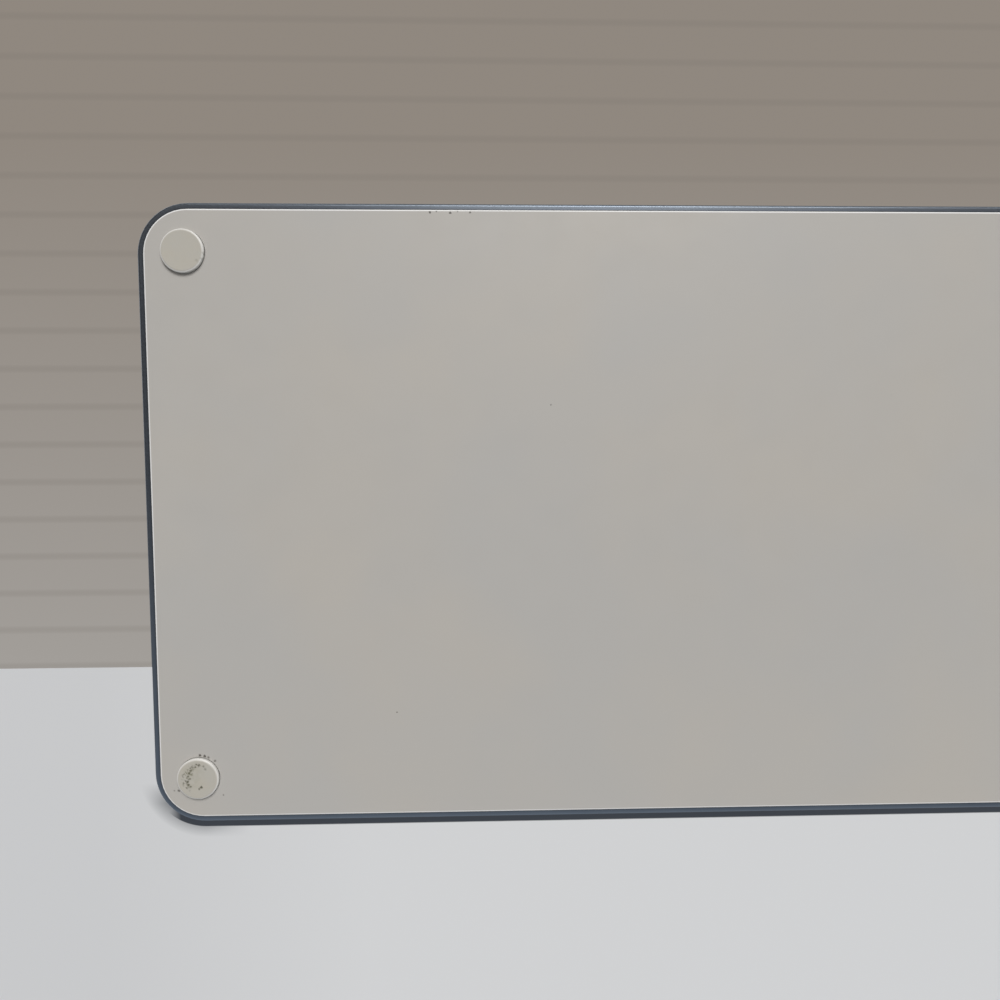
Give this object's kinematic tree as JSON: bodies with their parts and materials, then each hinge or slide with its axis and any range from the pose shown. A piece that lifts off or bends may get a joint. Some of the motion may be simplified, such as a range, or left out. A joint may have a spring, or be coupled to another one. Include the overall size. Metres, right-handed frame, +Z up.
{
  "type": "computer keyboard",
  "caption": "Thin wedge-shaped wireless keyboard with low scissor keys in an aluminium case, a white bonded bottom cover on rubber feet, a rear charging port and a sliding power switch",
  "frame": {"origin": "on the desk plane under the middle of the body's outline", "axes": "+X to the user's right along the rows of keys, +Y to the rear edge, +Z up from the desk"},
  "size_m": [0.2788, 0.115, 0.0109],
  "materials": {
    "anodised_aluminium": "fine bead-blasted slate blue anodising",
    "cover_plastic": "satin white moulded plastic",
    "foot_rubber": "matt pale grey rubber",
    "adhesive": "thin bonding tape",
    "plate_steel": "stamped thin sheet",
    "membrane_film": "printed polyester film",
    "rivet_steel": "plain steel",
    "dome_rubber": "translucent silicone",
    "link_plastic": "white moulded plastic",
    "bar_steel": "bright spring wire",
    "battery_foil": "foil pouch",
    "circuit_board": "solder mask over glass cloth",
    "port_metal": "plated shell",
    "screw_steel": "plated steel",
    "lead_film": "amber film",
    "switch_plastic": "black moulded plastic",
    "knob_finish": "anodised to match the case",
    "keycap_plastic": "satin white moulded plastic"
  },
  "bodies": {
    "case": {"top_case": "anodised_aluminium", "bottom_cover": "cover_plastic", "rubber_feet": "foot_rubber", "cover_adhesive": "adhesive", "key_backplate": "plate_steel", "circuit_membrane": "membrane_film", "membrane_tail": "membrane_film", "deck_rivets": "rivet_steel", "rubber_domes": "dome_rubber", "scissor_links": "link_plastic", "stabiliser_bars": "bar_steel", "battery_pack": "battery_foil", "logic_board": "circuit_board", "charge_port": "port_metal", "board_screws": "screw_steel", "flex_leads": "lead_film", "switch_body": "switch_plastic"},
    "power_switch": {"power_switch_knob": "knob_finish"},
    "key_space": {"key_space": "keycap_plastic"},
    "key_return": {"key_return": "keycap_plastic"},
    "key_left_shift": {"key_left_shift": "keycap_plastic"},
    "key_a": {"key_a": "keycap_plastic"},
    "key_q": {"key_q": "keycap_plastic"},
    "function_keys": {"function_keys": "keycap_plastic"},
    "number_keys": {"number_keys": "keycap_plastic"},
    "symbol_keys": {"symbol_keys": "keycap_plastic"},
    "lower_letter_keys": {"lower_letter_keys": "keycap_plastic"},
    "key_escape": {"key_escape": "keycap_plastic"},
    "key_delete": {"key_delete": "keycap_plastic"},
    "key_tab": {"key_tab": "keycap_plastic"},
    "key_caps_lock": {"key_caps_lock": "keycap_plastic"},
    "key_right_shift": {"key_right_shift": "keycap_plastic"},
    "key_left_command": {"key_left_command": "keycap_plastic"},
    "key_right_command": {"key_right_command": "keycap_plastic"},
    "key_lock": {"key_lock": "keycap_plastic"},
    "key_fn": {"key_fn": "keycap_plastic"},
    "key_control": {"key_control": "keycap_plastic"},
    "key_left_option": {"key_left_option": "keycap_plastic"},
    "key_right_option": {"key_right_option": "keycap_plastic"},
    "key_arrow_up": {"key_arrow_up": "keycap_plastic"},
    "key_arrow_down": {"key_arrow_down": "keycap_plastic"},
    "key_arrow_left": {"key_arrow_left": "keycap_plastic"},
    "key_arrow_right": {"key_arrow_right": "keycap_plastic"},
    "key_w": {"key_w": "keycap_plastic"},
    "key_e": {"key_e": "keycap_plastic"},
    "key_r": {"key_r": "keycap_plastic"},
    "key_t": {"key_t": "keycap_plastic"},
    "key_y": {"key_y": "keycap_plastic"},
    "key_u": {"key_u": "keycap_plastic"},
    "key_i": {"key_i": "keycap_plastic"},
    "key_o": {"key_o": "keycap_plastic"},
    "key_p": {"key_p": "keycap_plastic"},
    "key_s": {"key_s": "keycap_plastic"},
    "key_d": {"key_d": "keycap_plastic"},
    "key_f": {"key_f": "keycap_plastic"},
    "key_g": {"key_g": "keycap_plastic"},
    "key_h": {"key_h": "keycap_plastic"},
    "key_j": {"key_j": "keycap_plastic"},
    "key_k": {"key_k": "keycap_plastic"},
    "key_l": {"key_l": "keycap_plastic"}
  },
  "joints": [
    {"name": "press_space", "type": "slide", "parent": "case", "child": "key_space", "axis": [0, 0.0546, -0.9985], "range_m": [0, 0.001], "stiffness_N_per_m": 600, "deforming": ["rubber_domes", "scissor_links", "stabiliser_bars"]},
    {"name": "press_return", "type": "slide", "parent": "case", "child": "key_return", "axis": [0, 0.0546, -0.9985], "range_m": [0, 0.001], "stiffness_N_per_m": 600, "deforming": ["rubber_domes", "scissor_links", "stabiliser_bars"]},
    {"name": "press_left_shift", "type": "slide", "parent": "case", "child": "key_left_shift", "axis": [0, 0.0546, -0.9985], "range_m": [0, 0.001], "stiffness_N_per_m": 600, "deforming": ["rubber_domes", "scissor_links", "stabiliser_bars"]},
    {"name": "slide_power_switch", "type": "slide", "parent": "case", "child": "power_switch", "axis": [1, 0, 0], "range_m": [0, 0.0024]},
    {"name": "press_a", "type": "slide", "parent": "case", "child": "key_a", "axis": [0, 0.0546, -0.9985], "range_m": [0, 0.001], "stiffness_N_per_m": 600, "deforming": ["rubber_domes", "scissor_links"]},
    {"name": "press_q", "type": "slide", "parent": "case", "child": "key_q", "axis": [0, 0.0546, -0.9985], "range_m": [0, 0.001], "stiffness_N_per_m": 600, "deforming": ["rubber_domes", "scissor_links"]},
    {"name": "press_function_keys", "type": "slide", "parent": "case", "child": "function_keys", "axis": [0, 0.0546, -0.9985], "range_m": [0, 0.001], "stiffness_N_per_m": 7200, "deforming": ["rubber_domes", "scissor_links"]},
    {"name": "press_number_keys", "type": "slide", "parent": "case", "child": "number_keys", "axis": [0, 0.0546, -0.9985], "range_m": [0, 0.001], "stiffness_N_per_m": 7800, "deforming": ["rubber_domes", "scissor_links"]},
    {"name": "press_symbol_keys", "type": "slide", "parent": "case", "child": "symbol_keys", "axis": [0, 0.0546, -0.9985], "range_m": [0, 0.001], "stiffness_N_per_m": 3000, "deforming": ["rubber_domes", "scissor_links"]},
    {"name": "press_lower_letter_keys", "type": "slide", "parent": "case", "child": "lower_letter_keys", "axis": [0, 0.0546, -0.9985], "range_m": [0, 0.001], "stiffness_N_per_m": 6000, "deforming": ["rubber_domes", "scissor_links"]},
    {"name": "press_escape", "type": "slide", "parent": "case", "child": "key_escape", "axis": [0, 0.0546, -0.9985], "range_m": [0, 0.001], "stiffness_N_per_m": 600, "deforming": ["rubber_domes", "scissor_links"]},
    {"name": "press_delete", "type": "slide", "parent": "case", "child": "key_delete", "axis": [0, 0.0546, -0.9985], "range_m": [0, 0.001], "stiffness_N_per_m": 600, "deforming": ["rubber_domes", "scissor_links", "stabiliser_bars"]},
    {"name": "press_tab", "type": "slide", "parent": "case", "child": "key_tab", "axis": [0, 0.0546, -0.9985], "range_m": [0, 0.001], "stiffness_N_per_m": 600, "deforming": ["rubber_domes", "scissor_links", "stabiliser_bars"]},
    {"name": "press_caps_lock", "type": "slide", "parent": "case", "child": "key_caps_lock", "axis": [0, 0.0546, -0.9985], "range_m": [0, 0.001], "stiffness_N_per_m": 600, "deforming": ["rubber_domes", "scissor_links", "stabiliser_bars"]},
    {"name": "press_right_shift", "type": "slide", "parent": "case", "child": "key_right_shift", "axis": [0, 0.0546, -0.9985], "range_m": [0, 0.001], "stiffness_N_per_m": 600, "deforming": ["rubber_domes", "scissor_links", "stabiliser_bars"]},
    {"name": "press_left_command", "type": "slide", "parent": "case", "child": "key_left_command", "axis": [0, 0.0546, -0.9985], "range_m": [0, 0.001], "stiffness_N_per_m": 600, "deforming": ["rubber_domes", "scissor_links"]},
    {"name": "press_right_command", "type": "slide", "parent": "case", "child": "key_right_command", "axis": [0, 0.0546, -0.9985], "range_m": [0, 0.001], "stiffness_N_per_m": 600, "deforming": ["rubber_domes", "scissor_links"]},
    {"name": "press_lock", "type": "slide", "parent": "case", "child": "key_lock", "axis": [0, 0.0546, -0.9985], "range_m": [0, 0.001], "stiffness_N_per_m": 600, "deforming": ["rubber_domes", "scissor_links"]},
    {"name": "press_fn", "type": "slide", "parent": "case", "child": "key_fn", "axis": [0, 0.0546, -0.9985], "range_m": [0, 0.001], "stiffness_N_per_m": 600, "deforming": ["rubber_domes", "scissor_links"]},
    {"name": "press_control", "type": "slide", "parent": "case", "child": "key_control", "axis": [0, 0.0546, -0.9985], "range_m": [0, 0.001], "stiffness_N_per_m": 600, "deforming": ["rubber_domes", "scissor_links"]},
    {"name": "press_left_option", "type": "slide", "parent": "case", "child": "key_left_option", "axis": [0, 0.0546, -0.9985], "range_m": [0, 0.001], "stiffness_N_per_m": 600, "deforming": ["rubber_domes", "scissor_links"]},
    {"name": "press_right_option", "type": "slide", "parent": "case", "child": "key_right_option", "axis": [0, 0.0546, -0.9985], "range_m": [0, 0.001], "stiffness_N_per_m": 600, "deforming": ["rubber_domes", "scissor_links"]},
    {"name": "press_arrow_up", "type": "slide", "parent": "case", "child": "key_arrow_up", "axis": [0, 0.0546, -0.9985], "range_m": [0, 0.001], "stiffness_N_per_m": 600, "deforming": ["rubber_domes", "scissor_links"]},
    {"name": "press_arrow_down", "type": "slide", "parent": "case", "child": "key_arrow_down", "axis": [0, 0.0546, -0.9985], "range_m": [0, 0.001], "stiffness_N_per_m": 600, "deforming": ["rubber_domes", "scissor_links"]},
    {"name": "press_arrow_left", "type": "slide", "parent": "case", "child": "key_arrow_left", "axis": [0, 0.0546, -0.9985], "range_m": [0, 0.001], "stiffness_N_per_m": 600, "deforming": ["rubber_domes", "scissor_links"]},
    {"name": "press_arrow_right", "type": "slide", "parent": "case", "child": "key_arrow_right", "axis": [0, 0.0546, -0.9985], "range_m": [0, 0.001], "stiffness_N_per_m": 600, "deforming": ["rubber_domes", "scissor_links"]},
    {"name": "press_w", "type": "slide", "parent": "case", "child": "key_w", "axis": [0, 0.0546, -0.9985], "range_m": [0, 0.001], "stiffness_N_per_m": 600, "deforming": ["rubber_domes", "scissor_links"]},
    {"name": "press_e", "type": "slide", "parent": "case", "child": "key_e", "axis": [0, 0.0546, -0.9985], "range_m": [0, 0.001], "stiffness_N_per_m": 600, "deforming": ["rubber_domes", "scissor_links"]},
    {"name": "press_r", "type": "slide", "parent": "case", "child": "key_r", "axis": [0, 0.0546, -0.9985], "range_m": [0, 0.001], "stiffness_N_per_m": 600, "deforming": ["rubber_domes", "scissor_links"]},
    {"name": "press_t", "type": "slide", "parent": "case", "child": "key_t", "axis": [0, 0.0546, -0.9985], "range_m": [0, 0.001], "stiffness_N_per_m": 600, "deforming": ["rubber_domes", "scissor_links"]},
    {"name": "press_y", "type": "slide", "parent": "case", "child": "key_y", "axis": [0, 0.0546, -0.9985], "range_m": [0, 0.001], "stiffness_N_per_m": 600, "deforming": ["rubber_domes", "scissor_links"]},
    {"name": "press_u", "type": "slide", "parent": "case", "child": "key_u", "axis": [0, 0.0546, -0.9985], "range_m": [0, 0.001], "stiffness_N_per_m": 600, "deforming": ["rubber_domes", "scissor_links"]},
    {"name": "press_i", "type": "slide", "parent": "case", "child": "key_i", "axis": [0, 0.0546, -0.9985], "range_m": [0, 0.001], "stiffness_N_per_m": 600, "deforming": ["rubber_domes", "scissor_links"]},
    {"name": "press_o", "type": "slide", "parent": "case", "child": "key_o", "axis": [0, 0.0546, -0.9985], "range_m": [0, 0.001], "stiffness_N_per_m": 600, "deforming": ["rubber_domes", "scissor_links"]},
    {"name": "press_p", "type": "slide", "parent": "case", "child": "key_p", "axis": [0, 0.0546, -0.9985], "range_m": [0, 0.001], "stiffness_N_per_m": 600, "deforming": ["rubber_domes", "scissor_links"]},
    {"name": "press_s", "type": "slide", "parent": "case", "child": "key_s", "axis": [0, 0.0546, -0.9985], "range_m": [0, 0.001], "stiffness_N_per_m": 600, "deforming": ["rubber_domes", "scissor_links"]},
    {"name": "press_d", "type": "slide", "parent": "case", "child": "key_d", "axis": [0, 0.0546, -0.9985], "range_m": [0, 0.001], "stiffness_N_per_m": 600, "deforming": ["rubber_domes", "scissor_links"]},
    {"name": "press_f", "type": "slide", "parent": "case", "child": "key_f", "axis": [0, 0.0546, -0.9985], "range_m": [0, 0.001], "stiffness_N_per_m": 600, "deforming": ["rubber_domes", "scissor_links"]},
    {"name": "press_g", "type": "slide", "parent": "case", "child": "key_g", "axis": [0, 0.0546, -0.9985], "range_m": [0, 0.001], "stiffness_N_per_m": 600, "deforming": ["rubber_domes", "scissor_links"]},
    {"name": "press_h", "type": "slide", "parent": "case", "child": "key_h", "axis": [0, 0.0546, -0.9985], "range_m": [0, 0.001], "stiffness_N_per_m": 600, "deforming": ["rubber_domes", "scissor_links"]},
    {"name": "press_j", "type": "slide", "parent": "case", "child": "key_j", "axis": [0, 0.0546, -0.9985], "range_m": [0, 0.001], "stiffness_N_per_m": 600, "deforming": ["rubber_domes", "scissor_links"]},
    {"name": "press_k", "type": "slide", "parent": "case", "child": "key_k", "axis": [0, 0.0546, -0.9985], "range_m": [0, 0.001], "stiffness_N_per_m": 600, "deforming": ["rubber_domes", "scissor_links"]},
    {"name": "press_l", "type": "slide", "parent": "case", "child": "key_l", "axis": [0, 0.0546, -0.9985], "range_m": [0, 0.001], "stiffness_N_per_m": 600, "deforming": ["rubber_domes", "scissor_links"]}
  ]
}
